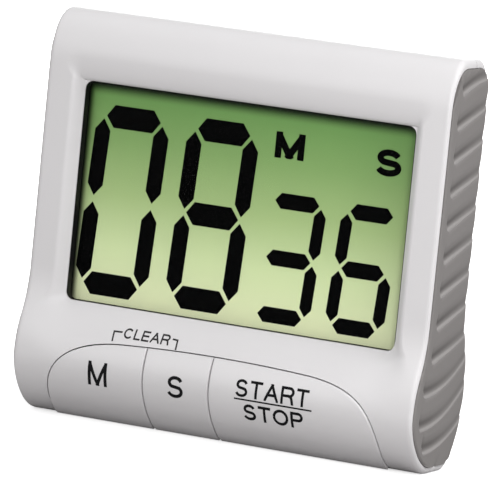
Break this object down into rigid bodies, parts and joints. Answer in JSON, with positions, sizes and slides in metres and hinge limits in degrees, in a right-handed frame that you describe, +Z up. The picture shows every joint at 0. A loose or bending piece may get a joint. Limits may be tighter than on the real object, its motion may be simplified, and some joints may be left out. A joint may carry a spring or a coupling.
{
  "type": "digital countdown timer",
  "caption": "Free-standing digital timer with a wide reflective display, three keys in a rounded chin, soft grooved side grips, a fold-out stand and a battery heel.",
  "frame": {"origin": "middle of the underside of the timer's bounding box, on the table surface", "axes": "+X to the right as the display is read, +Y to the back, away from the reader, +Z up"},
  "size_m": [0.08, 0.0242, 0.0739],
  "materials": {
    "white_plastic": "satin moulded ABS, off-white",
    "grip_rubber": "soft matt elastomer, warm grey",
    "clear_pane": "clear polished plastic pane",
    "black_plastic": "matt moulded black plastic",
    "display_green": "reflective display, pale green",
    "display_dark": "dark display strokes",
    "silicone": "moulded silicone rubber",
    "board_green": "solder mask on glass-fibre board",
    "black_resin": "poured black resin",
    "steel": "nickel-plated steel",
    "brass": "plain brass disc",
    "red_insulation": "wire insulation",
    "cell_coat": null
  },
  "bodies": {
    "casing": {"front_shell": "white_plastic", "rear_shell": "white_plastic", "grip_left": "grip_rubber", "grip_right": "grip_rubber", "display_window": "clear_pane", "display_holder": "black_plastic", "display_sheet": "display_green", "display_backing": "display_dark", "connector_strip": "silicone", "contact_pad_minutes": "silicone", "contact_pad_seconds": "silicone", "contact_pad_start_stop": "silicone", "circuit_board": "board_green", "chip_cap": "black_resin", "crystal": "steel", "buzzer_disc": "brass", "buzzer_lead_red": "red_insulation", "buzzer_lead_black": "black_plastic", "battery": "cell_coat", "battery_contact": "steel", "battery_spring": "steel", "case_screw_1": "steel", "case_screw_2": "steel", "case_screw_3": "steel", "case_screw_4": "steel", "board_screw_1": "steel", "board_screw_2": "steel"},
    "key_minutes": {"key_minutes": "white_plastic"},
    "key_seconds": {"key_seconds": "white_plastic"},
    "key_start_stop": {"key_start_stop": "white_plastic"},
    "stand": {"stand": "white_plastic"},
    "battery_cover": {"battery_cover": "white_plastic"}
  },
  "joints": [
    {"name": "minutes_press", "type": "slide", "parent": "casing", "child": "key_minutes", "axis": [0, 1, 0], "range_m": [0, 0.0007], "stiffness_N_per_m": 900, "springref_m": -0.0005},
    {"name": "seconds_press", "type": "slide", "parent": "casing", "child": "key_seconds", "axis": [0, 1, 0], "range_m": [0, 0.0007], "stiffness_N_per_m": 900, "springref_m": -0.0005},
    {"name": "start_stop_press", "type": "slide", "parent": "casing", "child": "key_start_stop", "axis": [0, 1, 0], "range_m": [0, 0.0007], "stiffness_N_per_m": 900, "springref_m": -0.0005},
    {"name": "stand_hinge", "type": "hinge", "parent": "casing", "child": "stand", "pos_m": [0, 0.00805, 0.03], "axis": [-1, 0, 0], "range_deg": [0, 125]},
    {"name": "battery_cover_off", "type": "slide", "parent": "casing", "child": "battery_cover", "axis": [0, 1, 0], "range_m": [0, 0.006]}
  ]
}
